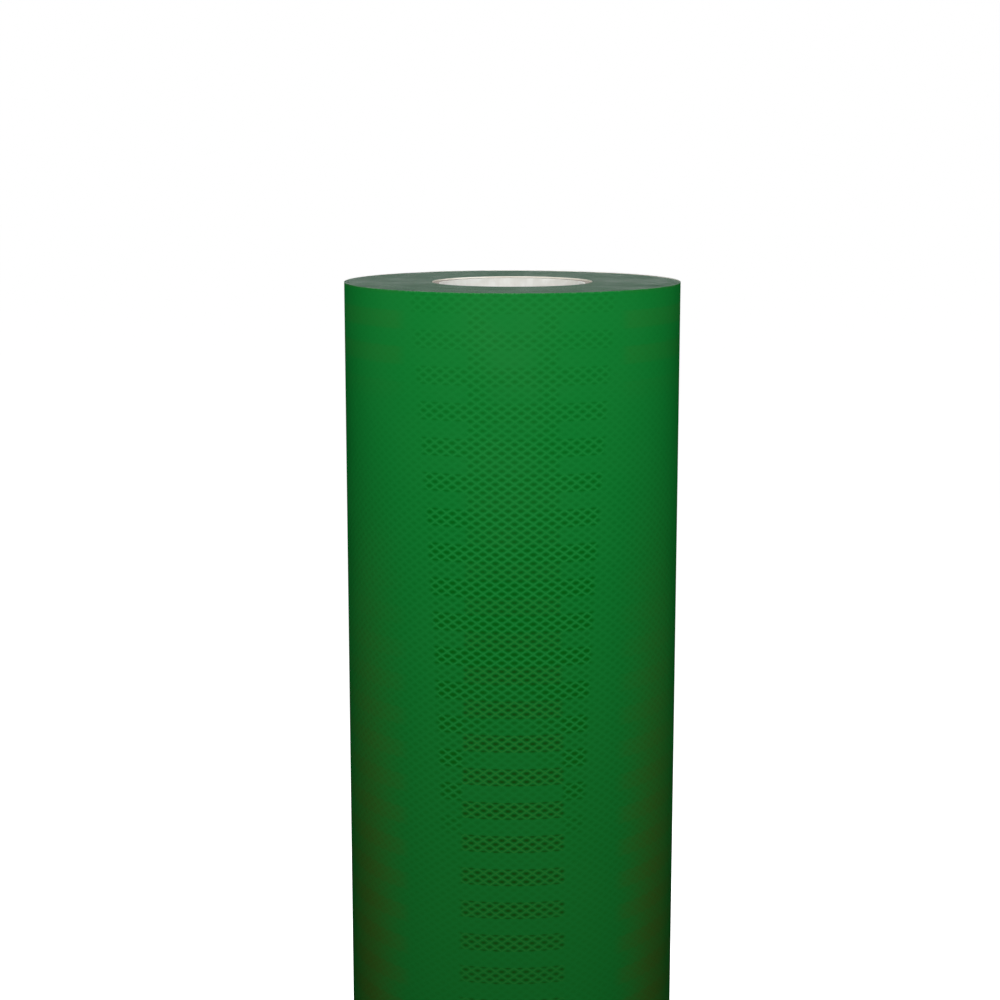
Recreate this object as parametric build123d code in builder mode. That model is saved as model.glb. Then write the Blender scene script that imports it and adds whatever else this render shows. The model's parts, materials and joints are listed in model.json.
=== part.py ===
from build123d import *
import os
from math import ceil, pi

# A roll of prismatic reflective sheeting, standing on end on an open paper core.
# Millimetres and degrees. The roll's axis is Z, its lower end stands on Z = 0, and
# angles run counterclockwise from +X. The web is wound counterclockwise outwards.

os.makedirs("parts", exist_ok=True)

# ---------------------------------------------------------------------------
# Driving dimensions
# ---------------------------------------------------------------------------

# The roll
web_width = 610.0           # width of the sheeting, and height of the roll on end
roll_diameter = 177.8       # twice the largest radius, which is at the free edge

# The core: plies of paper, from the bore outwards
core_bore = 76.2
core_recess = 1.0           # each core end is cut this much short of the web's edge
lining_ply = 0.45           # white paper that lines the bore
board_ply = 0.48            # each ply of chipboard
board_plies = 7
kraft_ply = 0.45            # smooth kraft paper outside

# The web: its layers, from the core side outwards
liner_film = 0.10           # release liner
adhesive_coat = 0.06
seal_film = 0.05            # seals the air behind the prisms
prism_film = 0.13
face_film = 0.08            # clear coloured overlay

# The double-sided tape that starts the winding on the core
starter_tape_width = 25.0   # round the core
starter_tape_film = 0.15
starter_tape_angle = 300.0  # middle of the tape

# The free end
free_edge_angle = 120.0     # where the web ends
tail_span = 50.0            # loose web before the free edge
tail_stand_off = 0.20       # air under each loose layer, from the web's own springiness
tail_root_gap = 0.30        # between the wound web and the loose web, along the web
tail_relaxing = 0.04        # how much flatter the web curves at its edge than on the roll
tail_arc = 2.5              # the loose web flattens from arc to arc, each this long at most

# The tapes that hold the free end down
end_tape_width = 25.0       # up the roll
end_tape_film = 0.08
end_tape_on_tail = 20.0     # length stuck to the loose web
end_tape_on_roll = 22.0     # length that reaches past the free edge
end_tape_ramp = 4.0         # length that runs down from the free edge to the roll
end_tape_height = 0.78      # place of the upper tape, as a share of the web's width

# ---------------------------------------------------------------------------
# Values that follow
# ---------------------------------------------------------------------------

core_radius = core_bore / 2 + lining_ply + board_plies * board_ply + kraft_ply
core_length = web_width - 2 * core_recess
web_thickness = liner_film + adhesive_coat + seal_film + prism_film + face_film
roll_radius = roll_diameter / 2

# One turn of the web is a spiral of two half circles. Their centres lie a quarter of the
# web's thickness either side of the axis, in line with the free edge, so the spiral
# grows by one thickness in each turn and is smooth where its halves meet.
# Turned angles are counted from where the last turn starts, under the free edge.
half_turn = 180.0
full_turn = 360.0
degrees_per_radian = 180 / pi
edge_direction = Vector(1, 0).rotate(Axis.Z, free_edge_angle)
first_centre = edge_direction * (-web_thickness / 4)
second_centre = edge_direction * (web_thickness / 4)
first_radius = roll_radius - web_thickness * 7 / 4
second_radius = first_radius + web_thickness / 2
tail_root = full_turn - tail_span
wound_end = tail_root - tail_root_gap / roll_radius * degrees_per_radian

# A path is a row of arcs: centre, radius, and the turned angles where it starts and ends.
wound_path = [
    (first_centre, first_radius, 0.0, half_turn),
    (second_centre, second_radius, half_turn, full_turn),
]


def outwards(turned):
    """Direction across the web, away from the roll's axis."""
    return edge_direction.rotate(Axis.Z, turned)


def flattening_path():
    """Path of the loose web, whose arcs follow on smoothly and grow flatter to its edge."""
    path = []
    count = ceil(tail_span / tail_arc)
    centre, radius = second_centre, second_radius
    for number in range(count):
        start = tail_root + number * tail_span / count
        flatter = second_radius * (1 + tail_relaxing * (number + 1) / count)
        centre -= outwards(start) * (flatter - radius)
        radius = flatter
        path.append((centre, radius, start, start + tail_span / count))
    return path


loose_path = flattening_path()


def path_point(path, depth, turned):
    """Point `depth` outside a path, at that turned angle."""
    for centre, radius, start, end in path:
        if start <= turned <= end:
            point = centre + outwards(turned) * (radius + depth)
    return point


def path_arcs(path, depth, first, last):
    """The line `depth` outside a path between two turned angles, in the line being built."""
    for centre, radius, start, end in path:
        low = max(first, start)
        high = min(last, end)
        if high > low:
            CenterArc(centre, radius + depth, free_edge_angle + low, high - low)


def save(piece, name):
    """Label a finished piece and write it as parts/name.step."""
    piece.part.label = name
    export_step(piece.part, f"parts/{name}.step")
    print(f"{name}: {piece.part.volume:.0f} mm3")


# ---------------------------------------------------------------------------
# Core: plies wound on each other, the bore's lining first
# ---------------------------------------------------------------------------

core_plies = [("core_lining_ply", lining_ply)]
for number in range(board_plies):
    core_plies.append((f"core_board_ply_{number + 1}", board_ply))
core_plies.append(("core_kraft_ply", kraft_ply))

ply_bore_radius = core_bore / 2
for ply_name, ply_thickness in core_plies:
    with BuildPart() as core_ply:
        with BuildSketch(Plane.XY.offset(core_recess)):
            Circle(ply_bore_radius + ply_thickness)
            Circle(ply_bore_radius, mode=Mode.SUBTRACT)
        extrude(amount=core_length)
    save(core_ply, ply_name)
    ply_bore_radius += ply_thickness

# ---------------------------------------------------------------------------
# Starter tape: between the core and the first turn, as long as the core
# ---------------------------------------------------------------------------

starter_tape_span = starter_tape_width / core_radius * degrees_per_radian
starter_tape_start = starter_tape_angle - starter_tape_span / 2


def starter_tape_lines():
    """The outline of the tape's section, curved to the core, in the line being built."""
    for radius in (core_radius, core_radius + starter_tape_film):
        CenterArc((0, 0), radius, starter_tape_start, starter_tape_span)
    for side in (starter_tape_start, starter_tape_start + starter_tape_span):
        across = Vector(1, 0).rotate(Axis.Z, side)
        Line(across * core_radius, across * (core_radius + starter_tape_film))


with BuildPart() as starter_tape:
    with BuildSketch(Plane.XY.offset(core_recess)):
        with BuildLine():
            starter_tape_lines()
        make_face()
    extrude(amount=core_length)
save(starter_tape, "starter_tape")

# ---------------------------------------------------------------------------
# Inner turns: all the turns under the last one, pressed together into one ring.
# Their outside is the spiral that the last turn lies on, with the step it starts from.
# ---------------------------------------------------------------------------

with BuildPart() as wound_turns:
    with BuildSketch():
        with BuildLine():
            path_arcs(wound_path, 0, 0, full_turn)
            Line(path_point(wound_path, 0, full_turn), path_point(wound_path, 0, 0))
        make_face()
        Circle(core_radius, mode=Mode.SUBTRACT)
    extrude(amount=web_width)
    with BuildSketch(Plane.XY.offset(core_recess)):
        with BuildLine():
            starter_tape_lines()
        make_face()
    extrude(amount=core_length, mode=Mode.SUBTRACT)
save(wound_turns, "wound_turns")

# ---------------------------------------------------------------------------
# Last turn: the layers of the web, from the step to the root of the loose end
# ---------------------------------------------------------------------------

web_layers = [
    ("liner", liner_film),
    ("adhesive", adhesive_coat),
    ("seal_film", seal_film),
    ("prism_film", prism_film),
    ("face_film", face_film),
]


def web_layer(name, path, depth, thickness, start, end):
    """One layer of the web along a path, as high as the roll."""
    with BuildPart() as layer:
        with BuildSketch():
            with BuildLine():
                path_arcs(path, depth, start, end)
                path_arcs(path, depth + thickness, start, end)
                for side in (start, end):
                    Line(path_point(path, depth, side), path_point(path, depth + thickness, side))
            make_face()
        extrude(amount=web_width)
    save(layer, name)


layer_depth = 0.0
for layer_name, layer_thickness in web_layers:
    web_layer(f"outer_{layer_name}", wound_path, layer_depth, layer_thickness, 0, wound_end)
    layer_depth += layer_thickness

# ---------------------------------------------------------------------------
# Free end: the same layers, loose. The liner stands a little off the roll, and the
# sheeting a little off the liner.
# ---------------------------------------------------------------------------

layer_depth = tail_stand_off
for layer_name, layer_thickness in web_layers:
    web_layer(f"tail_{layer_name}", loose_path, layer_depth, layer_thickness, tail_root, full_turn)
    layer_depth += layer_thickness
    if layer_name == "liner":
        layer_depth += tail_stand_off
tail_face_depth = layer_depth

# ---------------------------------------------------------------------------
# End tapes: stuck on the loose web, run down over its edge, and reach onto the roll
# ---------------------------------------------------------------------------

degrees_per_mm = degrees_per_radian / roll_radius
tape_start = full_turn - end_tape_on_tail * degrees_per_mm
ramp_end = end_tape_ramp * degrees_per_mm
tape_end = end_tape_on_roll * degrees_per_mm
tape_roll_depth = web_thickness + tail_stand_off


def end_tape_side(film):
    """The tape's line along the loose web and down to the roll, `film` off its stuck side."""
    path_arcs(loose_path, tail_face_depth + film, tape_start, full_turn)
    edge_top = path_point(loose_path, tail_face_depth + film, full_turn)
    Line(edge_top, path_point(wound_path, tape_roll_depth + film, ramp_end))
    path_arcs(wound_path, tape_roll_depth + film, ramp_end, tape_end)


def end_tape_end(path, depth, side):
    """The tape's cut end, through its film."""
    Line(path_point(path, depth, side), path_point(path, depth + end_tape_film, side))


def end_tape(name, height):
    """A short strip of tape over the free edge, with its middle at that height."""
    with BuildPart() as tape:
        with BuildSketch(Plane.XY.offset(height - end_tape_width / 2)):
            with BuildLine():
                end_tape_side(0)
                end_tape_side(end_tape_film)
                end_tape_end(loose_path, tail_face_depth, tape_start)
                end_tape_end(wound_path, tape_roll_depth, tape_end)
            make_face()
        extrude(amount=end_tape_width)
    save(tape, name)


end_tape("end_tape_upper", web_width * end_tape_height)
end_tape("end_tape_lower", web_width * (1 - end_tape_height))

# ---------------------------------------------------------------------------
# What the sizes come to
# ---------------------------------------------------------------------------

turns = (roll_radius - core_radius) / web_thickness
web_length = turns * pi * (roll_radius + core_radius)
tail_length = tail_span / degrees_per_mm
hinge_line = path_point(loose_path, tail_face_depth, tail_root)
print(f"{turns:.1f} turns, {web_length / 1000:.1f} m of web, {web_thickness:.2f} mm thick")
print(f"core {2 * core_radius:.1f} mm over {core_bore:.1f} mm bore, {core_length:.0f} mm long")
print(f"loose end {tail_length:.0f} mm long, hinged at ({hinge_line.X:.3f}, {hinge_line.Y:.3f})")
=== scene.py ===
# %% [markdown]
# # A roll of prismatic reflective sheeting
# This is the film that road signs, posts and barriers are faced with. It comes as a long web, wound on an
# open paper core, and the roll stands here on end. From the outside in, the web is a clear green face film,
# a film of tiny prisms, a white seal film that is welded to the prisms along a net of lines, an adhesive and
# a paper liner. The CAD model gives every size and every joint. Blender adds the looks around it.

# %% Load the CAD model
import json
from math import atan2, ceil, cos, degrees, pi, radians, sin

import bmesh
import bpy
import numpy as np
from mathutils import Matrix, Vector, noise


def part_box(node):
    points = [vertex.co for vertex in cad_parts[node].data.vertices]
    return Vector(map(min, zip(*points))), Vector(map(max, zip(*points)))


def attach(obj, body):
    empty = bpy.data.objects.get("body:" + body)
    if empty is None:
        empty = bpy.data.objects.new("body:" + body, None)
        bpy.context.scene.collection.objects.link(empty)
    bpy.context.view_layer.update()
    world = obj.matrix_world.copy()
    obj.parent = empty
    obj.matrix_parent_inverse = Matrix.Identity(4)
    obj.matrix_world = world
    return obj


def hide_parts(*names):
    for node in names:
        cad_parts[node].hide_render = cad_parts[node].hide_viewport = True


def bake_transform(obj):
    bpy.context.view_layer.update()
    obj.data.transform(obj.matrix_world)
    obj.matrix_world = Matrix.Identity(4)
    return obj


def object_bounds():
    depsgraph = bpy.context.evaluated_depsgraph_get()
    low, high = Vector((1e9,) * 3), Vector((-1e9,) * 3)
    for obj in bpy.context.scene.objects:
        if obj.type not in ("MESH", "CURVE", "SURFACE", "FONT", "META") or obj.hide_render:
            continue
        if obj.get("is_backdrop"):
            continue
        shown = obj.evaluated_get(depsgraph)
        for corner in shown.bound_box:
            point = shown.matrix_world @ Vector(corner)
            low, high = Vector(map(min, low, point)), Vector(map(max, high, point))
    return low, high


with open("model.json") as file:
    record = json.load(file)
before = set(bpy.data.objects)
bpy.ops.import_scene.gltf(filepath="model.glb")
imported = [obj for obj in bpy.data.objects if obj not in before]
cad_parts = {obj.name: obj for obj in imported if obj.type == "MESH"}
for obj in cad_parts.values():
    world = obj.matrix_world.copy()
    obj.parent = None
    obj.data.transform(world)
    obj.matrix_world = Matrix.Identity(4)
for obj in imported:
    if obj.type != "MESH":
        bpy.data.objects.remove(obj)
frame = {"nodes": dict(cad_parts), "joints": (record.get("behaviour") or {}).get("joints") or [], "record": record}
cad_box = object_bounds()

mm = 0.001

# %% [markdown]
# ## Sizes
# Sizes come from the CAD model where it states them: the web's width, the core's plies, the bore and the
# line where the loose end hinges. The thickness of each layer is repeated here, because the visible web is
# built from the same layers.

# %% Sizes of the core and the web
mounts = {mount["name"]: mount for mount in frame["record"]["mounts"]}
joints = {joint["name"]: joint for joint in frame["joints"]}

web_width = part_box("wound_turns")[1].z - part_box("wound_turns")[0].z
bore_radius = mounts["core_bore"]["dims"]["r_mm"] * mm
lining_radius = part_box("core_lining_ply")[1].x
core_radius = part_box("core_kraft_ply")[1].x
core_low, core_high = (corner.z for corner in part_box("core_lining_ply"))

face_film = 0.08 * mm
prism_film = 0.13 * mm
seal_film = 0.05 * mm
adhesive_coat = 0.06 * mm
liner_film = 0.10 * mm
sheeting_thickness = face_film + prism_film + seal_film + adhesive_coat
web_thickness = sheeting_thickness + liner_film
print(f"web {web_width:.3f} m wide, {web_thickness / mm:.2f} mm thick; core {2 * core_radius:.4f} m across")

# %% [markdown]
# ## The line that the web follows
# One turn of the web is a spiral of two half circles, whose centres lie a quarter of the web's thickness
# either side of the axis, in line with the free edge. Angles are counted from where the last turn starts,
# under the free edge. The last 50 degrees are loose, and their curve grows flatter towards the edge.

# %% Spiral of the last turn
free_edge = radians(120)
loose_span = radians(50)
stand_off = 0.20 * mm
relaxing = 0.04
loose_arc = radians(2.5)
hinge = Vector(joints["tail_lift"]["pos_m"]).xy

full_turn = 2 * pi
loose_root = full_turn - loose_span
edge_direction = Vector((cos(free_edge), sin(free_edge)))
first_centre = edge_direction * (-web_thickness / 4)
second_centre = edge_direction * (web_thickness / 4)
second_radius = (hinge - second_centre).length - web_thickness - 2 * stand_off
first_radius = second_radius - web_thickness / 2
roll_radius = second_radius + web_thickness * 5 / 4


def outwards(turned):
    """Direction across the web, away from the roll's axis."""
    return Vector((cos(free_edge + turned), sin(free_edge + turned)))


def on_roll(turned, depth):
    """Point of the last turn, `depth` outside the turns that it lies on."""
    if turned <= pi:
        return first_centre + outwards(turned) * (first_radius + depth)
    return second_centre + outwards(turned) * (second_radius + depth)


def loose_arcs():
    """Centre, radius and end of each arc of the loose web, which follow on smoothly."""
    arcs = []
    count = ceil(loose_span / loose_arc)
    centre, radius = second_centre.copy(), second_radius
    for number in range(count):
        start = loose_root + number * loose_span / count
        flatter = second_radius * (1 + relaxing * (number + 1) / count)
        centre -= outwards(start) * (flatter - radius)
        radius = flatter
        arcs.append((centre.copy(), radius, start + loose_span / count))
    return arcs


loose_path = loose_arcs()


def on_loose_web(turned, depth):
    """Point of the loose end, `depth` outside the line that its liner would lie on if pressed down."""
    for centre, radius, end in loose_path:
        if turned <= end:
            break
    return centre + outwards(turned) * (radius + depth)


def along_web(turned):
    """Distance along the outer face, counted from the side that faces forward (-Y)."""
    return roll_radius * (free_edge + turned + pi / 2)


print(f"roll {2 * roll_radius:.4f} m across, loose end {loose_span * roll_radius:.4f} m long")

# %% [markdown]
# ## Building meshes from arrays
# Every visible layer is a thin closed solid that follows a line round the roll. One helper turns arrays of
# points and faces into a piece with two maps. The map called "web" holds metres along the web and metres
# below its upper edge, so a pattern printed or embossed in the web stays with it wherever the web bends.
# The map called "layers" counts the layers through the web's thickness, for the cut edges.

# %% Helper that makes a piece
def make_piece(name, points, faces, web_map, layer_map, finishes, finish_of_face):
    """A smooth-shaded object from points (n, 3), faces (m, 4), maps (m, 4, 2) and one finish per face."""
    mesh = bpy.data.meshes.new(name)
    mesh.from_pydata(np.asarray(points).tolist(), [], np.asarray(faces).tolist())
    for map_name, values in (("web", web_map), ("layers", layer_map)):
        layer = mesh.uv_layers.new(name=map_name)
        layer.uv.foreach_set("vector", np.asarray(values, np.float32).ravel())
    for finish in finishes:
        mesh.materials.append(finish)
    mesh.polygons.foreach_set("material_index", np.asarray(finish_of_face, np.int32))
    mesh.shade_smooth()
    tidy = bmesh.new()
    tidy.from_mesh(mesh)
    bmesh.ops.remove_doubles(tidy, verts=tidy.verts, dist=0.0002 * mm)
    tidy.to_mesh(mesh)
    tidy.free()
    mesh.set_sharp_from_angle(angle=radians(35))
    piece = bpy.data.objects.new(name, mesh)
    bpy.context.scene.collection.objects.link(piece)
    print(f"{name}: {len(mesh.polygons)} faces")
    return piece


# %% Helper that makes a thin layer along a line
FACE, BACK, EDGE = 0, 1, 2


def quads(a, b, c, d):
    return np.stack([a.ravel(), b.ravel(), c.ravel(), d.ravel()], axis=1)


def slab_walls(face, back):
    """The six sides of a thin slab from its grids of point numbers, each side with its finish."""
    return [
        (quads(face[:-1, :-1], face[1:, :-1], face[1:, 1:], face[:-1, 1:]), FACE),
        (quads(back[:-1, :-1], back[:-1, 1:], back[1:, 1:], back[1:, :-1]), BACK),
        (quads(face[:-1, -1], face[1:, -1], back[1:, -1], back[:-1, -1]), EDGE),
        (quads(face[:-1, 0], back[:-1, 0], back[1:, 0], face[1:, 0]), EDGE),
        (quads(back[0, :-1], face[0, :-1], face[0, 1:], back[0, 1:]), EDGE),
        (quads(face[-1, :-1], back[-1, :-1], back[-1, 1:], face[-1, 1:]), EDGE),
    ]


def layer_piece(name, turned, outer, inner, heights, outer_share, inner_share, finishes):
    """A closed layer between two lines round the roll. Its shares say which layers of the web it holds."""
    stations, levels = len(turned), len(heights)
    points = np.zeros((2, stations, levels, 3))
    for side, line in enumerate((outer, inner)):
        points[side, :, :, :2] = np.array(line)[:, None, :]
        points[side, :, :, 2] = np.array(heights)[None, :]
    number = np.arange(2 * stations * levels).reshape(2, stations, levels)
    along = np.array([along_web(angle) for angle in turned])
    web_of = np.zeros((2, stations, levels, 2))
    web_of[..., 0] = along[None, :, None]
    web_of[..., 1] = web_width - np.array(heights)[None, None, :]
    layer_of = np.zeros((2, stations, levels, 2))
    layer_of[0, ..., 0] = outer_share
    layer_of[1, ..., 0] = inner_share
    layer_of[..., 1] = along[None, :, None]

    walls = slab_walls(*number)
    faces = np.concatenate([wall for wall, _ in walls])
    finish_of_face = np.concatenate([np.full(len(wall), finish) for wall, finish in walls])
    web_map = web_of.reshape(-1, 2)[faces]
    layer_map = layer_of.reshape(-1, 2)[faces]
    return make_piece(name, points.reshape(-1, 3), faces, web_map, layer_map, finishes, finish_of_face)


# %% [markdown]
# ## Shader helpers
# A shader is a tree of nodes. Three helpers keep the lines short: one adds a node and fills its inputs, one
# adds a sum, and one fades a value smoothly between two limits.

# %% Node helpers
def put(tree, kind, inputs=None, **settings):
    """Add a node, with its settings, and set or link its inputs."""
    node = tree.nodes.new(kind)
    for name, value in settings.items():
        setattr(node, name, value)
    for key, value in (inputs or {}).items():
        if isinstance(value, bpy.types.NodeSocket):
            tree.links.new(value, node.inputs[key])
        else:
            node.inputs[key].default_value = value
    return node


def calc(tree, operation, *values):
    """The result of a maths node on numbers or sockets."""
    return put(tree, "ShaderNodeMath", dict(enumerate(values)), operation=operation).outputs[0]


def fade(tree, value, low, high, at_low=0.0, at_high=1.0):
    """A smooth step from at_low to at_high while the value goes from low to high."""
    inputs = dict(enumerate((value, low, high, at_low, at_high)))
    return put(tree, "ShaderNodeMapRange", inputs, interpolation_type="SMOOTHSTEP").outputs[0]


def mix(tree, share, first, second):
    """The first colour, turning into the second as the share goes from 0 to 1."""
    inputs = {0: share, 6: first, 7: second}
    return put(tree, "ShaderNodeMix", inputs, data_type="RGBA").outputs[2]


def new_group(name, inputs, outputs):
    """An empty node group with named inputs (with their defaults) and outputs, and its two end nodes."""
    tree = bpy.data.node_groups.new(name, "ShaderNodeTree")
    for label, (kind, default) in inputs.items():
        socket = tree.interface.new_socket(label, in_out="INPUT", socket_type=kind)
        if default is not None:
            socket.default_value = default
    for label, kind in outputs.items():
        tree.interface.new_socket(label, in_out="OUTPUT", socket_type=kind)
    return tree, tree.nodes.new("NodeGroupInput"), tree.nodes.new("NodeGroupOutput")


def place(tree, group, inputs=None):
    """Put a node group in a shader."""
    node = tree.nodes.new("ShaderNodeGroup")
    node.node_tree = group
    for key, value in (inputs or {}).items():
        if isinstance(value, bpy.types.NodeSocket):
            tree.links.new(value, node.inputs[key])
        else:
            node.inputs[key].default_value = value
    return node


def new_finish(name):
    """A material, its node tree and its Principled shader."""
    material = bpy.data.materials.new(name)
    material.use_nodes = True
    tree = material.node_tree
    return material, tree, tree.nodes["Principled BSDF"]


def linear(red, green, blue):
    """A colour given as screen values from 0 to 255, as the linear values that shaders use."""
    shares = [value / 255 for value in (red, green, blue)]
    return [s / 12.92 if s <= 0.04045 else ((s + 0.055) / 1.055) ** 2.4 for s in shares] + [1.0]


FLOAT, VECTOR = "NodeSocketFloat", "NodeSocketVector"

# %% [markdown]
# ## The cells of prismatic sheeting
# The seal film touches the prisms only along a net of lines, and so the film shows small cells. They stand
# in rows, each row shifted by half a cell, and each cell is a diamond between the lines with a dark oval in
# it. All of it is worked out from the "web" map with sums, so it is sharp at any distance and needs no
# picture. Folding the map twice, once about the cell and once about the diamond's sides, makes one drawn
# oval serve all cells.

# %% Node group: cells
cell_width = 6.32 * mm
cell_height = 4.43 * mm
first_band = 23.3 * mm


def cells_group():
    tree, entry, out = new_group(
        "sheeting cells",
        {"Web": (VECTOR, None)},
        {"Cell": FLOAT, "Heart": FLOAT, "Net": FLOAT},
    )
    web = put(tree, "ShaderNodeSeparateXYZ", {0: entry.outputs["Web"]})
    across = calc(tree, "DIVIDE", web.outputs[0], cell_width)
    down = calc(tree, "DIVIDE", calc(tree, "SUBTRACT", web.outputs[1], first_band), cell_height)
    side = calc(tree, "PINGPONG", across, 0.5)
    rise = calc(tree, "PINGPONG", down, 0.5)
    past_line = calc(tree, "SUBTRACT", calc(tree, "ADD", side, rise), 0.5)
    beyond = calc(tree, "GREATER_THAN", past_line, 0.0)

    def folded(value):
        """The value, or what is left of half a cell where the point is past the diamond's side."""
        left = calc(tree, "SUBTRACT", 0.5, value)
        return calc(tree, "ADD", value, calc(tree, "MULTIPLY", beyond, calc(tree, "SUBTRACT", left, value)))

    oval_wide, oval_high = 0.33, 0.265
    wide = calc(tree, "POWER", calc(tree, "DIVIDE", folded(side), oval_wide), 2)
    high = calc(tree, "POWER", calc(tree, "DIVIDE", folded(rise), oval_high), 2)
    reach = calc(tree, "SQRT", calc(tree, "ADD", wide, high))
    results = {
        "Cell": fade(tree, reach, 0.55, 1.15, 1, 0),
        "Heart": fade(tree, reach, 0.2, 0.75, 1, 0),
        "Net": fade(tree, calc(tree, "ABSOLUTE", past_line), 0.02, 0.10, 1, 0),
    }
    for label, value in results.items():
        tree.links.new(value, out.inputs[label])
    return tree


cells = cells_group()
print("cells:", cell_width / mm, "by", cell_height / mm, "mm")

# %% [markdown]
# ## Bands and columns
# The prisms are cut in bands about 9 mm high that point two ways by turns, so from one side every second band
# looks netted and dark, and the other ones plain. Round the roll the bands swap over: a column where one kind is
# dark, blocks beside it where the other kind is, and a wide stretch where the bands only show as painted shade.
# The columns stand a third of the way round from each other, and lower down, midway between them, the web gets a
# brown painted shade; the whole web gets a little of it lower down too. Most values below are fades: where the
# fade starts and ends, then its value at the start and at the end. Heights are millimetres below the upper edge.
# Turns are degrees from a column.

# %% Node group: bands and columns
band_pitch = 4 * cell_height
column_period = 120
band_edge = (0.235, 0.265, 1, 0)
column_half_width = (0, 380, 14.5, 17.8)
column_edge = (-0.8, 0.8, 1, 0)
column_margin = (5, 11)
block_edge = (-1.2, 1.2, 1, 0)
block_reach_at_top = 35
block_shrink = 0.0615
block_shrink_eases = 0.00008
least_block_reach = 24
side_stretch = (36, 42)
block_rising = (-30, 200, 0.10, 0.72)
block_ending = (236, 292, 1, 0)
margin_delay = 15
crossing_ending = (178, 240, 1, 0)
column_rising = (-40, 230, 0.17, 0.50)
column_easing = (300, 385, 1, 0.75)
middle_rising = (10, 115, 0, 1.15)
faint_net_rising = (0, 150, 0.05, 0.18)
faint_net_easing = (260, 350, 1, 0.6)
between_rising = (90, 150, 0, 0.17)
between_ending = (215, 290, 1, 0)
olive_rising = (60, 240)
# painted shade, in brown: on the side stretches, midway between the columns, and a little on the whole web lower
# down
side_band_shade = (105, 330, 0, 0.12)
side_gap_shade = (25, 60, 0.08, 0)
painted_shade_middle = (36, 60)
painted_shade_rising = (60, 380, 0, 0.40)
overall_shade = (80, 380, 0, 0.07)


def bands_group():
    tree, entry, out = new_group(
        "sheeting bands",
        {"Web": (VECTOR, None)},
        {"Netted": FLOAT, "Brown": FLOAT, "Shaded": FLOAT},
    )
    web = put(tree, "ShaderNodeSeparateXYZ", {0: entry.outputs["Web"]})
    turned = calc(tree, "MULTIPLY", web.outputs[0], degrees(1 / roll_radius))
    from_column = calc(tree, "PINGPONG", turned, column_period / 2)
    below = calc(tree, "MULTIPLY", web.outputs[1], 1 / mm)
    place_in_band = calc(tree, "DIVIDE", calc(tree, "SUBTRACT", web.outputs[1], first_band), band_pitch)
    from_band = calc(tree, "PINGPONG", place_in_band, 0.5)
    block_band = fade(tree, from_band, *band_edge)
    column_band = calc(tree, "SUBTRACT", 1, block_band)

    def times(*values):
        result = values[0]
        for value in values[1:]:
            result = calc(tree, "MULTIPLY", result, value)
        return result

    def plus(*values):
        result = values[0]
        for value in values[1:]:
            result = calc(tree, "ADD", result, value)
        return result

    # the column's half width, in degrees, and how far its neighbouring blocks reach
    column_half = fade(tree, below, *column_half_width)
    shrink = times(below, plus(-block_shrink, times(below, block_shrink_eases)))
    block_reach = calc(tree, "MAXIMUM", plus(block_reach_at_top, shrink), least_block_reach)
    past_column = calc(tree, "SUBTRACT", from_column, column_half)
    past_block = calc(tree, "SUBTRACT", from_column, block_reach)
    in_column = fade(tree, past_column, *column_edge)
    in_block = times(calc(tree, "SUBTRACT", 1, in_column), fade(tree, past_block, *block_edge))
    at_margin = fade(tree, from_column, *column_margin)
    at_side = fade(tree, from_column, *side_stretch)

    # how clearly each place shows its net, from the upper edge down
    block_rise = fade(tree, below, *block_rising)
    in_blocks = times(block_rise, fade(tree, below, *block_ending))
    delayed = plus(below, times(at_margin, -margin_delay))
    across_column = times(block_rise, fade(tree, delayed, *crossing_ending))
    column_rise = times(fade(tree, below, *column_rising), fade(tree, below, *column_easing))
    in_middle = fade(tree, below, *middle_rising)
    middle_to_margin = calc(tree, "ADD", in_middle, times(at_margin, calc(tree, "SUBTRACT", 1, in_middle)))
    everywhere = times(fade(tree, below, *faint_net_rising), fade(tree, below, *faint_net_easing))
    between_blocks = times(fade(tree, below, *between_rising), fade(tree, below, *between_ending))
    netted = plus(
        everywhere,
        times(in_column, column_band, column_rise, middle_to_margin),
        times(in_column, block_band, across_column),
        times(in_block, block_band, in_blocks),
        times(in_block, column_band, between_blocks),
    )
    brown = times(in_column, column_band, fade(tree, below, *olive_rising))

    # painted shade, in brown: on the side stretches, midway between the columns, and a little all over lower down
    shaded = plus(
        times(at_side, block_band, fade(tree, below, *side_band_shade)),
        times(at_side, column_band, fade(tree, below, *side_gap_shade)),
        times(fade(tree, from_column, *painted_shade_middle), fade(tree, below, *painted_shade_rising)),
        fade(tree, below, *overall_shade),
    )
    for label, value in (("Netted", netted), ("Brown", brown), ("Shaded", shaded)):
        tree.links.new(value, out.inputs[label])
    return tree


bands = bands_group()
print("bands:", band_pitch / 2 / mm, "mm high")

# %% [markdown]
# ## Wear, dust and paper
# Handling leaves the same marks on many surfaces: faint blotches in the gloss, and paler scuffs along the
# cut edges. Paper has short fibres and a cloudy body. Both are made once, as node groups.

# %% Node group: handling marks
def marks_group():
    tree, entry, out = new_group(
        "handling marks",
        {"Scale": (FLOAT, 40.0), "Below edge": (FLOAT, 0.1), "Above edge": (FLOAT, 0.1)},
        {"Blotch": FLOAT, "Scuff": FLOAT},
    )
    where = put(tree, "ShaderNodeTexCoord").outputs["Object"]
    scale = entry.outputs["Scale"]
    blotch = put(tree, "ShaderNodeTexNoise", {"Vector": where, "Scale": scale, "Detail": 5.0})
    fine = put(tree, "ShaderNodeTexNoise", {"Vector": where, "Scale": 900.0, "Detail": 3.0})
    nearest = calc(tree, "MINIMUM", entry.outputs["Below edge"], entry.outputs["Above edge"])
    at_edge = fade(tree, nearest, 0.0, 0.9 * mm, 1, 0)
    scuff = calc(tree, "MULTIPLY", at_edge, fade(tree, fine.outputs[0], 0.45, 0.65))
    tree.links.new(blotch.outputs[0], out.inputs["Blotch"])
    tree.links.new(scuff, out.inputs["Scuff"])
    return tree


marks = marks_group()


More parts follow.
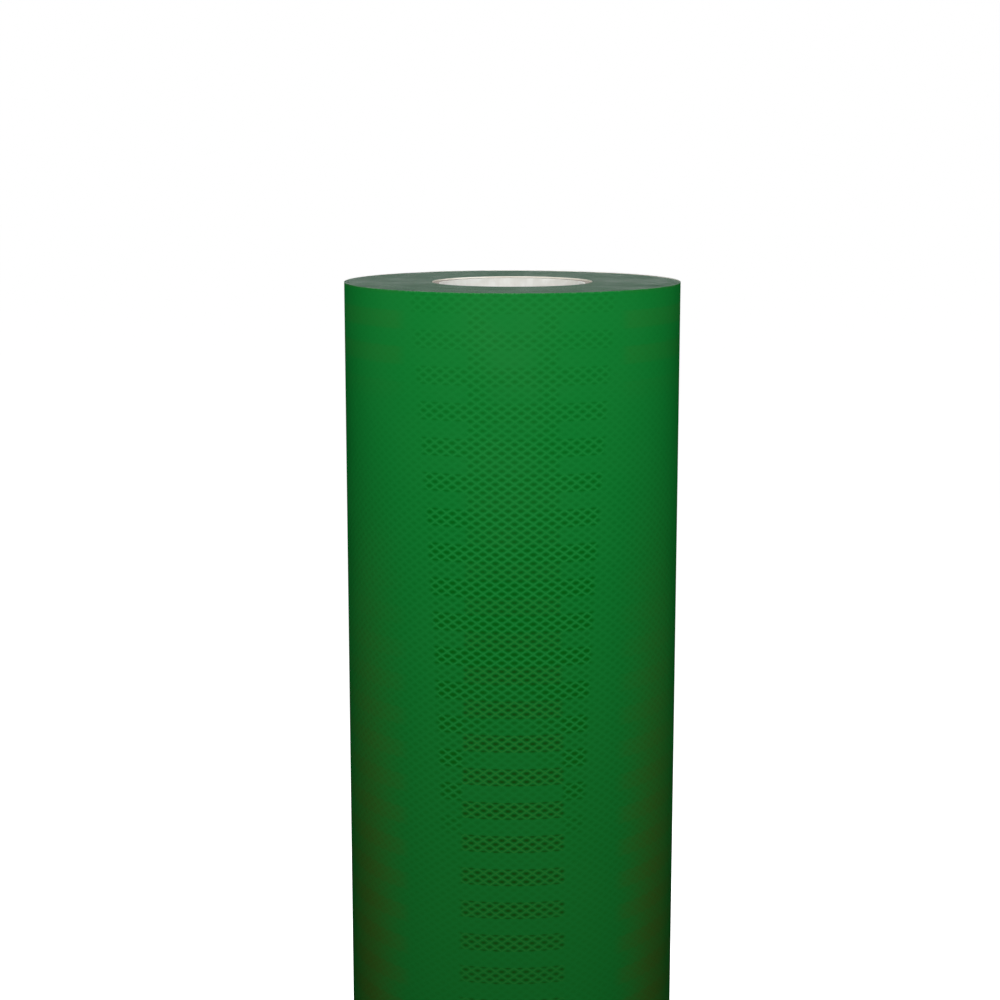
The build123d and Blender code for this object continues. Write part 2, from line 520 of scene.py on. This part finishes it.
# %% Node group: paper
def paper_group():
    tree, entry, out = new_group(
        "paper fibres",
        {"Scale": (FLOAT, 1.0)},
        {"Cloud": FLOAT, "Fibre": FLOAT},
    )
    where = put(tree, "ShaderNodeTexCoord").outputs["Object"]
    scale = entry.outputs["Scale"]
    larger = put(tree, "ShaderNodeVectorMath", {0: where, 3: scale}, operation="SCALE").outputs[0]
    cloud = put(tree, "ShaderNodeTexNoise", {"Vector": larger, "Scale": 160.0, "Detail": 6.0})
    stretch = put(tree, "ShaderNodeMapping", {"Vector": larger, "Scale": (900.0, 900.0, 260.0)})
    fibre = put(tree, "ShaderNodeTexNoise", {"Vector": stretch.outputs[0], "Scale": 1.0, "Detail": 4.0})
    tree.links.new(cloud.outputs[0], out.inputs["Cloud"])
    tree.links.new(fade(tree, fibre.outputs[0], 0.35, 0.65), out.inputs["Fibre"])
    return tree


paper = paper_group()

# %% [markdown]
# ## Finishes
# The face of the sheeting is a clear green film over the prisms. Its colour comes from the cells and the bands
# with a brown painted shade mixed in, its gloss is slightly uneven from handling, and a very low bump follows the
# seal lines.

# %% Finish: green face
plain_green = linear(16, 122, 47)
net_green = linear(30, 136, 55)
net_olive = linear(46, 128, 46)
cell_green = linear(0, 99, 18)
cell_brown = linear(8, 87, 14)
heart_brown = linear(16, 70, 10)
heart_green = linear(4, 92, 18)
# painted shade: the brown that the face is mixed towards where the bands group marks it as shaded
painted_shade_brown = linear(74, 80, 18)


def green_face():
    material, tree, shader = new_finish("green face film")
    web = put(tree, "ShaderNodeUVMap", uv_map="web").outputs[0]
    cell = place(tree, cells, {"Web": web}).outputs
    band = place(tree, bands, {"Web": web}).outputs
    axes = put(tree, "ShaderNodeSeparateXYZ", {0: web})
    above = calc(tree, "SUBTRACT", web_width, axes.outputs[1])
    mark = place(tree, marks, {"Scale": 30.0, "Below edge": axes.outputs[1], "Above edge": above}).outputs

    line = mix(tree, band["Brown"], net_green, net_olive)
    oval = mix(tree, band["Brown"], cell_green, cell_brown)
    heart = mix(tree, band["Brown"], heart_green, heart_brown)
    colour = mix(tree, calc(tree, "MULTIPLY", cell["Net"], band["Netted"]), plain_green, line)
    colour = mix(tree, calc(tree, "MULTIPLY", cell["Cell"], band["Netted"]), colour, oval)
    colour = mix(tree, calc(tree, "MULTIPLY", cell["Heart"], band["Netted"]), colour, heart)
    shaded = calc(tree, "MULTIPLY", band["Shaded"], fade(tree, cell["Net"], 0, 1, 1.0, 0.8))
    # painted shade, mixed into the face's colour in brown
    colour = mix(tree, shaded, colour, painted_shade_brown)
    colour = mix(tree, calc(tree, "MULTIPLY", mark["Scuff"], 0.25), colour, linear(120, 160, 130))
    tree.links.new(colour, shader.inputs["Base Color"])
    tree.links.new(fade(tree, mark["Blotch"], 0.3, 0.7, 0.30, 0.42), shader.inputs["Roughness"])
    shader.inputs["Specular IOR Level"].default_value = 0.12
    lines = put(tree, "ShaderNodeBump", {"Strength": 0.15, "Distance": 0.02 * mm, "Height": cell["Net"]})
    tree.links.new(lines.outputs[0], shader.inputs["Normal"])
    return material


face_finish = green_face()

# %% [markdown]
# The back of the sheeting is a clear adhesive over the white seal film. The weld lines show through it as a
# pale net, because there the film is pressed against the prisms.

# %% Finish: adhesive back
def adhesive_back():
    material, tree, shader = new_finish("adhesive back")
    web = put(tree, "ShaderNodeUVMap", uv_map="web").outputs[0]
    cell = place(tree, cells, {"Web": web}).outputs
    mark = place(tree, marks, {"Scale": 55.0}).outputs
    net = calc(tree, "MULTIPLY", cell["Net"], 0.8)
    colour = mix(tree, net, linear(178, 186, 178), linear(214, 219, 212))
    colour = mix(tree, calc(tree, "MULTIPLY", cell["Cell"], 0.35), colour, linear(140, 160, 146))
    colour = mix(tree, fade(tree, mark["Blotch"], 0.45, 0.75, 0, 0.35), colour, linear(196, 192, 174))
    tree.links.new(colour, shader.inputs["Base Color"])
    tree.links.new(fade(tree, mark["Blotch"], 0.3, 0.7, 0.18, 0.34), shader.inputs["Roughness"])
    lines = put(tree, "ShaderNodeBump", {"Strength": 0.4, "Distance": 0.03 * mm, "Height": cell["Net"]})
    tree.links.new(lines.outputs[0], shader.inputs["Normal"])
    return material


back_finish = adhesive_back()

# %% [markdown]
# At its cut edges the web shows its layers: green films, white film, grey adhesive, white liner. The layers
# map counts one unit per turn from the face inwards, and a colour ramp turns the part after the decimal
# point into a layer. Dust and smeared adhesive keep the contrast low.

# %% Finish: cut edges
def cut_edges():
    material, tree, shader = new_finish("cut web edges")
    layers = put(tree, "ShaderNodeUVMap", uv_map="layers").outputs[0]
    count = put(tree, "ShaderNodeSeparateXYZ", {0: layers}).outputs[0]
    part = calc(tree, "FRACT", count)
    ramp = put(tree, "ShaderNodeValToRGB", {0: part})
    ramp.color_ramp.interpolation = "LINEAR"
    films = [
        (0.0, linear(15, 55, 31)),
        (face_film / web_thickness, linear(19, 69, 40)),
        ((face_film + prism_film) / web_thickness, linear(32, 75, 50)),
        ((face_film + prism_film + seal_film) / web_thickness, linear(63, 92, 75)),
        (sheeting_thickness / web_thickness, linear(48, 72, 58)),
        (0.9, linear(76, 98, 84)),
        (1.0, linear(30, 62, 42)),
    ]
    steps = ramp.color_ramp.elements
    while len(steps) < len(films):
        steps.new(0.5)
    for step, (position, colour) in zip(steps, films):
        step.position = position
        step.color = colour
    drift = put(tree, "ShaderNodeTexNoise", {"Vector": layers, "Scale": 0.35, "Detail": 3.0})
    mark = place(tree, marks, {"Scale": 70.0}).outputs
    drifted = fade(tree, drift.outputs[0], 0.35, 0.65, 0, 0.35)
    colour = mix(tree, drifted, ramp.outputs[0], linear(53, 78, 62))
    colour = mix(tree, fade(tree, mark["Blotch"], 0.5, 0.75, 0, 0.3), colour, linear(68, 90, 74))
    tree.links.new(colour, shader.inputs["Base Color"])
    tree.links.new(fade(tree, mark["Blotch"], 0.3, 0.7, 0.7, 0.85), shader.inputs["Roughness"])
    shader.inputs["Specular IOR Level"].default_value = 0.08
    return material


edge_finish = cut_edges()

# %% [markdown]
# Paper comes five times: the bore's white lining, the grey board plies, the brown outer ply and the release
# liner, which is smooth and a little shiny because it is coated. One function makes all of them from the
# paper group, with its own colours, gloss and grain.

# %% Finishes: papers
def paper_finish(name, light, dark, roughness, scale, grain):
    material, tree, shader = new_finish(name)
    sheet = place(tree, paper, {"Scale": scale}).outputs
    colour = mix(tree, fade(tree, sheet["Cloud"], 0.35, 0.65), light, dark)
    colour = mix(tree, calc(tree, "MULTIPLY", sheet["Fibre"], 0.3), colour, dark)
    tree.links.new(colour, shader.inputs["Base Color"])
    cloudy = fade(tree, sheet["Cloud"], 0.3, 0.7, roughness - 0.05, roughness + 0.05)
    tree.links.new(cloudy, shader.inputs["Roughness"])
    fibres = {"Strength": grain, "Distance": 0.05 * mm, "Height": sheet["Fibre"]}
    grains = put(tree, "ShaderNodeBump", fibres)
    tree.links.new(grains.outputs[0], shader.inputs["Normal"])
    return material


lining_light = linear(217, 217, 213)
lining_dark = linear(204, 203, 197)
lining_finish = paper_finish("white lining paper", lining_light, lining_dark, 0.8, 1.0, 0.3)
board_finishes = [
    paper_finish("board ply light", linear(140, 132, 120), linear(112, 104, 92), 0.9, 1.3, 0.5),
    paper_finish("board ply dark", linear(122, 115, 104), linear(96, 89, 78), 0.9, 1.3, 0.5),
]
kraft_finish = paper_finish("kraft ply", linear(130, 108, 84), linear(104, 84, 63), 0.85, 1.1, 0.4)
liner_finish = paper_finish("release liner", linear(236, 234, 224), linear(222, 219, 206), 0.38, 0.6, 0.15)

# %% [markdown]
# Two plastics are left: the white double-sided tape on the core, and the tan tape that holds the free end
# down. The tan tape is a stretched film, so it has fine streaks along it.

# %% Finishes: tapes
def tape_finish(name, light, dark, roughness, streaks):
    material, tree, shader = new_finish(name)
    where = put(tree, "ShaderNodeTexCoord").outputs["Object"]
    stretch = put(tree, "ShaderNodeMapping", {"Vector": where, "Scale": (25.0, 25.0, streaks)})
    streak = put(tree, "ShaderNodeTexNoise", {"Vector": stretch.outputs[0], "Scale": 1.0, "Detail": 4.0})
    mark = place(tree, marks, {"Scale": 120.0}).outputs
    colour = mix(tree, fade(tree, streak.outputs[0], 0.35, 0.65), light, dark)
    colour = mix(tree, fade(tree, mark["Blotch"], 0.5, 0.75, 0, 0.3), colour, dark)
    tree.links.new(colour, shader.inputs["Base Color"])
    worn = fade(tree, mark["Blotch"], 0.3, 0.7, roughness, roughness + 0.12)
    tree.links.new(worn, shader.inputs["Roughness"])
    streaked = {"Strength": 0.3, "Distance": 0.03 * mm, "Height": streak.outputs[0]}
    ridges = put(tree, "ShaderNodeBump", streaked)
    tree.links.new(ridges.outputs[0], shader.inputs["Normal"])
    return material


starter_finish = tape_finish("starter tape", linear(226, 226, 220), linear(206, 206, 200), 0.4, 700.0)
holding_finish = tape_finish("holding tape", linear(208, 186, 140), linear(186, 160, 110), 0.25, 1400.0)

# %% [markdown]
# ## Core
# The core is a paper tube: strips of board wound in a helix, one ply over another, with a white paper
# strip as lining. The plies stay as the CAD model has them and get their papers. The lining is made again as
# the long strip that it really is, because its seam can be seen when one looks into the bore. The strip is
# swept round the bore past both ends, and then cut off flush with two planes.

# %% Papers on the CAD plies
def finish_node(node, finish):
    mesh = frame["nodes"][node].data
    mesh.materials.clear()
    mesh.materials.append(finish)


board_names = sorted(name for name in frame["nodes"] if name.startswith("core_board_ply"))
for count, node in enumerate(board_names):
    finish_node(node, board_finishes[count % 2])
finish_node("core_kraft_ply", kraft_finish)
finish_node("starter_tape", starter_finish)
print(len(board_names), "board plies")

# %% Lining strip
seam_lead = 122 * mm
seam_gap = 0.7 * mm
seam_rounding = 0.12 * mm
seam_phase = radians(62)
strip_step = radians(3)


def lining_strip():
    thickness = lining_radius - bore_radius
    half = (seam_lead - seam_gap) / 2
    # the strip's section: how far along the bore, and how far outside it
    section = [
        (-half, seam_rounding),
        (-half + seam_rounding, 0),
        (half - seam_rounding, 0),
        (half, seam_rounding),
        (half, thickness),
        (-half, thickness),
    ]
    first = seam_phase - 2 * pi
    turns = (core_high - core_low) / seam_lead + 2
    steps = ceil(turns * 2 * pi / strip_step)
    strip = bmesh.new()
    rings = []
    for step in range(steps + 1):
        angle = first + step * strip_step
        middle = core_low + seam_lead * (angle - first) / (2 * pi) - seam_lead
        ring = []
        for rise, out in section:
            radius = bore_radius + out
            ring.append(strip.verts.new((radius * cos(angle), radius * sin(angle), middle + rise)))
        rings.append(ring)
    for before, after in zip(rings, rings[1:]):
        for number in range(len(section)):
            following = (number + 1) % len(section)
            strip.faces.new((before[number], before[following], after[following], after[number]))
    for height, up in ((core_low, -1), (core_high, 1)):
        whole = strip.verts[:] + strip.edges[:] + strip.faces[:]
        cut = bmesh.ops.bisect_plane(
            strip, geom=whole, plane_co=(0, 0, height), plane_no=(0, 0, up), clear_outer=True
        )
        cut_edges_found = [item for item in cut["geom_cut"] if isinstance(item, bmesh.types.BMEdge)]
        filled = bmesh.ops.edgenet_fill(strip, edges=cut_edges_found)
        bmesh.ops.triangulate(strip, faces=filled["faces"])
    bmesh.ops.recalc_face_normals(strip, faces=strip.faces)
    mesh = bpy.data.meshes.new("core_lining_strip")
    strip.to_mesh(mesh)
    strip.free()
    mesh.materials.append(lining_finish)
    mesh.shade_smooth()
    mesh.set_sharp_from_angle(angle=radians(35))
    piece = bpy.data.objects.new("core_lining_strip", mesh)
    bpy.context.scene.collection.objects.link(piece)
    print(f"lining strip: {len(mesh.polygons)} faces, seam every {seam_lead / mm:.0f} mm")
    return piece


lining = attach(lining_strip(), "roll")
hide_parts("core_lining_ply")

# %% [markdown]
# ## Wound turns
# The ends of the roll show the cut edge of every turn. A web is never wound perfectly straight, so groups of
# turns stand a few tenths of a millimetre in or out, and the paper liner sits a little lower than the film.
# Both ends are built as one long ribbon that follows the spiral, three points across each turn. The ribbon's
# outer border is its own inner border one turn later, so the points are shared and the face is closed.

# %% Heights of the turns
stations = 120
profile = ((0.0, 0.0), (0.72, 0.0), (0.88, 0.07 * mm))
starter_width = 25 * mm
starter_film = 0.15 * mm
starter_angle = radians(300)
turn_count = ceil((roll_radius - core_radius) / web_thickness) + 1


def innermost(angle):
    """Radius where the turns start, on the core or on the tape that starts them."""
    off = (angle - starter_angle + pi) % (2 * pi) - pi
    return core_radius + (starter_film if abs(off) * core_radius < starter_width / 2 else 0)


def sunk(place_across, angle, seed):
    """How far a turn's edge lies below the flat end, from the way the web wandered while it was wound."""
    around = Vector((0.5 * cos(angle), 0.5 * sin(angle)))
    slow = noise.noise(Vector((place_across / 17, around.x, around.y + seed)))
    middle = noise.noise(Vector((place_across / 4.5, 2 * around.x, 2 * around.y + seed + 9)))
    quick = noise.noise(Vector((place_across / 1.4, around.x, around.y + seed + 23)))
    return max(0.0, 0.20 + 0.28 * slow + 0.10 * middle + 0.05 * quick) * mm


def end_points(flat, direction, seed):
    """Points of one wound end, as (station, ring): the rings run from the outside in."""
    rings = turn_count * len(profile) + 1
    grid = np.zeros((stations + 1, rings, 3))
    for station in range(stations + 1):
        turned = full_turn * station / stations
        outside = on_roll(turned, 0)
        direction_out = outwards(turned)
        for ring in range(rings):
            turn, part = divmod(ring, len(profile))
            share, lower = profile[part]
            point = outside - direction_out * (turn + share) * web_thickness
            angle = atan2(point.y, point.x)
            least = innermost(angle)
            across = turn + share - turned / full_turn
            if point.length < least or (point.dot(direction_out) < least):
                point = direction_out * innermost(free_edge + turned)
                lower, across = 0.0, turn_count
            depth = sunk(across, free_edge + turned, seed) + lower
            grid[station, ring] = (point.x, point.y, flat - direction * depth)
    return grid


upper = end_points(web_width, 1, 3.0)
lower_end = end_points(0.0, -1, 41.0)
print("upper end sinks up to", round((web_width - upper[:, :, 2].min()) / mm, 2), "mm")


# %% Wound turns as one closed piece
def wound_piece():
    rings = upper.shape[1]
    per_turn = len(profile)
    number = np.arange((stations + 1) * rings).reshape(stations + 1, rings)
    # past a full turn, a ring runs on as the ring one turn further out
    number[stations, per_turn:] = number[0, : rings - per_turn]
    points = np.concatenate([upper.reshape(-1, 3), lower_end.reshape(-1, 3)])
    offset = (stations + 1) * rings
    faces, web_map, layer_map, finish = [], [], [], []

    def add(corners, web, layers, material):
        faces.append(corners)
        web_map.append(web)
        layer_map.append(layers)
        finish.append(material)

    shares = [turn + share for turn in range(turn_count + 1) for share, _ in profile]
    turned = [full_turn * station / stations for station in range(stations + 1)]
    along = [along_web(angle) for angle in turned]
    for station in range(stations):
        here, there = along[station], along[station + 1]
        for ring in range(rings - 1):
            a, b = number[station, ring], number[station + 1, ring]
            c, d = number[station + 1, ring + 1], number[station, ring + 1]
            s, e = shares[ring], shares[ring + 1]
            web = [(here, 0), (there, 0), (there, 0), (here, 0)]
            layers = [(s, here), (s, there), (e, there), (e, here)]
            add((a, b, c, d), web, layers, EDGE)
            add((d + offset, c + offset, b + offset, a + offset), web[::-1], layers[::-1], EDGE)
        top_here, top_there = number[station, 0], number[station + 1, 0]
        outer = (top_here + offset, top_there + offset, top_there, top_here)
        web = [(here, web_width), (there, web_width), (there, 0), (here, 0)]
        add(outer, web, [(0, 0)] * 4, FACE)
        in_here, in_there = number[station, rings - 1], number[station + 1, rings - 1]
        inner = (in_here, in_there, in_there + offset, in_here + offset)
        add(inner, web[::-1], [(0, 0)] * 4, BACK)
    for ring in range(per_turn):
        high, next_high = number[stations, ring], number[stations, ring + 1]
        step = (high + offset, next_high + offset, next_high, high)
        s, e = shares[ring], shares[ring + 1]
        add(step, [(0, 0)] * 4, [(s, 0), (e, 0), (e, 0), (s, 0)], EDGE)
    finishes = [face_finish, liner_finish, edge_finish]
    return make_piece("wound_turn_edges", points, faces, web_map, layer_map, finishes, finish)


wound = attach(wound_piece(), "roll")
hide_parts("wound_turns")

# %% [markdown]
# ## Last turn and free end
# The last turn lies tight on the roll and the free end is loose, so they are two pieces that meet on the
# hinge line. Where they meet, their points are the same. The liner under it does the same, and follows less
# far.

# %% Last turn
wrap_step = radians(1)
rise_length = 14 * mm
level_count = 13
levels = [web_width * level / (level_count - 1) for level in range(level_count)]


def spread(start, end, step):
    count = ceil((end - start) / step)
    return [start + (end - start) * number / count for number in range(count + 1)]


def tight_layer(name, low, high, finishes, shares):
    turned = spread(0, pi, wrap_step)[:-1] + spread(pi, loose_root, wrap_step)
    outer = [on_roll(angle, high) for angle in turned]
    inner = [on_roll(angle, low) for angle in turned]
    return layer_piece(name, turned, outer, inner, [0, web_width], *shares, finishes)


sheeting_shares = (0.0, sheeting_thickness / web_thickness)
liner_shares = (sheeting_thickness / web_thickness, 1.0)
sheeting_finishes = [face_finish, back_finish, edge_finish]
liner_finishes = [liner_finish, liner_finish, edge_finish]

last_turn = tight_layer("last_turn_sheeting", liner_film, web_thickness, sheeting_finishes, sheeting_shares)
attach(last_turn, "roll")
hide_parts("outer_adhesive", "outer_seal_film", "outer_prism_film", "outer_face_film")

last_liner = tight_layer("last_turn_liner", 0, liner_film, liner_finishes, liner_shares)
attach(last_liner, "roll")
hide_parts("outer_liner")


# %% Free end
bend_length = 30 * mm
bend_lead = 0.5


def rising(turned, gap):
    """The gap under a loose layer: none at the hinge line, and all of it a little further on."""
    share = min(1.0, (turned - loose_root) * roll_radius / rise_length)
    return gap * share * share * (3 - 2 * share)


def loose_layer(name, low, thickness, gap, finishes, shares):
    turned = spread(loose_root, full_turn, wrap_step / 2)
    inner = [on_loose_web(angle, low + rising(angle, gap)) for angle in turned]
    outer = [on_loose_web(angle, low + thickness + rising(angle, gap)) for angle in turned]
    return layer_piece(name, turned, outer, inner, levels, *shares, finishes)


def bend_points():
    """Where the bend starts, on the hinge line, and where it ends, along the loose end."""
    start = on_loose_web(loose_root, web_thickness)
    end = on_loose_web(loose_root + bend_length / roll_radius, web_thickness)
    start += (start - end) * bend_lead
    return (start.x, start.y, web_width / 2), (end.x, end.y, web_width / 2)


bend_start, bend_end = bend_points()
free_end = loose_layer(
    "free_end_sheeting", liner_film, sheeting_thickness, 2 * stand_off, sheeting_finishes, sheeting_shares
)
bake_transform(free_end)
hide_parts("tail_adhesive", "tail_seal_film", "tail_prism_film", "tail_face_film")

free_liner = loose_layer("free_end_liner", 0, liner_film, stand_off, liner_finishes, liner_shares)
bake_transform(free_liner)
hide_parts("tail_liner")

# %% [markdown]
# ## Holding tapes
# Two short strips of tape keep the free end down. A tape is torn off on a toothed blade, which leaves a
# zigzag at both ends, so the strip is a grid whose first and last points step in and out from row to row.
# It lies on the loose web, runs down over its edge, and lies on the roll past it.

# %% Tapes
tape_on_loose = 20 * mm
tape_on_roll = 22 * mm
tape_ramp = 4 * mm
tape_film = 0.08 * mm
tooth_depth = 0.9 * mm
teeth = 18
tape_columns = 44
tape_contact = 0.02 * mm
tape_bulge = 0.25 * mm


def tape_point(distance, lift):
    """Point of the tape at a distance past the free edge, `lift` above the side that sticks."""
    loose_depth = web_thickness + 2 * stand_off + lift
    roll_depth = web_thickness + tape_contact + lift
    angle = distance / roll_radius
    if distance <= 0:
        return on_loose_web(full_turn + angle, loose_depth)
    if distance >= tape_ramp:
        return on_roll(angle, roll_depth)
    share = distance / tape_ramp
    eased = share * share * (3 - 2 * share)
    top = on_loose_web(full_turn, loose_depth)
    foot = on_roll(tape_ramp / roll_radius, roll_depth)
    return top.lerp(foot, share) + outwards(angle) * tape_bulge * (share - eased)


def holding_tape(node, name):
    low, high = (corner.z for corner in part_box(node))
    rows = 2 * teeth + 1
    grid = np.zeros((2, tape_columns + 1, rows, 3))
    for row in range(rows):
        nibble = tooth_depth if row % 2 else 0.0
        start, end = -tape_on_loose + nibble, tape_on_roll - tooth_depth + nibble
        for column in range(tape_columns + 1):
            distance = start + (end - start) * column / tape_columns
            height = low + (high - low) * row / (rows - 1)
            for side, lift in enumerate((tape_film, 0)):
                point = tape_point(distance, lift)
                grid[side, column, row] = (point.x, point.y, height)
    number = np.arange(grid[..., 0].size).reshape(2, tape_columns + 1, rows)
    faces = np.concatenate([wall for wall, _ in slab_walls(*number)])
    no_map = np.zeros((len(faces), 4, 2))
    one_finish = np.zeros(len(faces))
    tape = make_piece(name, grid.reshape(-1, 3), faces, no_map, no_map, [holding_finish], one_finish)
    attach(tape, "sheeting_tail")
    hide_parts(node)
    return tape


holding_tape("end_tape_upper", "holding_tape_upper")
holding_tape("end_tape_lower", "holding_tape_lower")

# %% [markdown]
# ## Floor, light and camera
# The roll stands on a plain white floor that runs on as the backdrop. A broad soft light stands in front and
# one behind, two narrower ones hang near the roll's upper part at its sides, and one hangs above. They are
# close, so the lower part of the roll gets less of them than the upper part. The floor and the surroundings
# only show to the camera: they throw no light on the roll.

# %% Floor and world
floor_size = 30.0
near_floor = 0.22
far_floor = 0.46


def floor():
    mesh = bpy.data.meshes.new("studio_floor")
    half = floor_size / 2
    corners = [(-half, -half, 0), (half, -half, 0), (half, half, 0), (-half, half, 0)]
    mesh.from_pydata(corners, [], [(0, 1, 2, 3)])
    plane = bpy.data.objects.new("studio_floor", mesh)
    bpy.context.scene.collection.objects.link(plane)
    material, tree, shader = new_finish("studio white")
    shader.inputs["Base Color"].default_value = (0.86, 0.86, 0.86, 1)
    shader.inputs["Roughness"].default_value = 0.9
    shader.inputs["Specular IOR Level"].default_value = 0.0
    where = put(tree, "ShaderNodeTexCoord").outputs["Object"]
    distance = put(tree, "ShaderNodeVectorMath", {0: where}, operation="LENGTH").outputs["Value"]
    glow = fade(tree, distance, near_floor, far_floor, 0.45, 1.0)
    tree.links.new(glow, shader.inputs["Emission Strength"])
    shader.inputs["Emission Color"].default_value = (1, 1, 1, 1)
    mesh.materials.append(material)
    plane.visible_glossy = False
    plane.visible_diffuse = False
    plane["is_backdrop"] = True


floor()
world = bpy.data.worlds.new("studio")
bpy.context.scene.world = world
world.use_nodes = True
world.node_tree.nodes["Background"].inputs[0].default_value = (1, 1, 1, 1)
world.node_tree.nodes["Background"].inputs[1].default_value = 1.0
world.cycles_visibility.diffuse = False
world.cycles_visibility.glossy = False


# %% Lights
def soft_light(name, place_at, aim, width, height, power):
    lamp = bpy.data.lights.new(name, "AREA")
    lamp.shape = "RECTANGLE"
    lamp.size, lamp.size_y = width, height
    lamp.energy = power
    lamp_object = bpy.data.objects.new(name, lamp)
    bpy.context.scene.collection.objects.link(lamp_object)
    lamp_object.location = place_at
    lamp_object.rotation_euler = (Vector(aim) - Vector(place_at)).to_track_quat("-Z", "Y").to_euler()
    lamp_object.visible_camera = False


aim_high = (0, 0, 0.75 * web_width)
lamp_height = web_width + 0.35
wide_box = (0.7, 0.4)
side_box = (0.4, 0.4)
overhead_box = (1.2, 1.2)
soft_light("front softbox", (0, -0.8, lamp_height), aim_high, *wide_box, 7.5)
soft_light("left softbox", (-0.6, -0.15, lamp_height), aim_high, *side_box, 2.2)
soft_light("right softbox", (0.6, -0.15, lamp_height), aim_high, *side_box, 2.2)
soft_light("back softbox", (0, 0.8, lamp_height), aim_high, *wide_box, 5.6)
soft_light("overhead softbox", (0, 0, 1.9), (0, 0, 0), *overhead_box, 4)

# %% Camera
lens_length = 73.14
camera_pitch = radians(10.04)
camera_distance = 12.117 * roll_radius
camera_above_rim = 0.823 * roll_radius
camera_aside = -0.072 * roll_radius

camera_data = bpy.data.cameras.new("camera")
camera_data.sensor_width = 36.0
camera_data.lens = lens_length
camera = bpy.data.objects.new("camera", camera_data)
bpy.context.scene.collection.objects.link(camera)
camera.location = (camera_aside, -camera_distance, web_width + camera_above_rim)
camera.rotation_euler = (pi / 2 - camera_pitch, 0, 0)
bpy.context.scene.camera = camera
bpy.context.scene.view_settings.view_transform = "Standard"

seen_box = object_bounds()
growth = [round((b - a) / mm, 3) for a, b in zip(cad_box[1], seen_box[1])]
print("box grows by", growth, "mm at the top corner")
